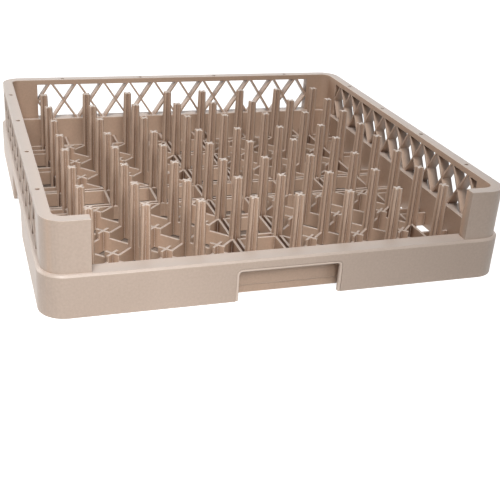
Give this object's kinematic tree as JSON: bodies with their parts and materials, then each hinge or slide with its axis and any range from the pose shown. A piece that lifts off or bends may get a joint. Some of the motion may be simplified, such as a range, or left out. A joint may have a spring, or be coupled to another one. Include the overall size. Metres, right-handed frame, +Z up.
{
  "type": "dishwasher tray rack",
  "caption": "Square open-end dishwasher rack in one moulding: latticed walls on three sides, an open rib floor and a field of tapered pegs that hold trays on edge.",
  "frame": {"origin": "middle of the footprint, on the surface that the rack stands on", "axes": "+Z up; -Y towards the open end; +X to the right seen from the open end"},
  "size_m": [0.5, 0.5, 0.1],
  "materials": {
    "plastic": "matte moulded polypropylene, beige"
  },
  "bodies": {
    "root": {"tray_rack": "plastic"}
  },
  "joints": []
}
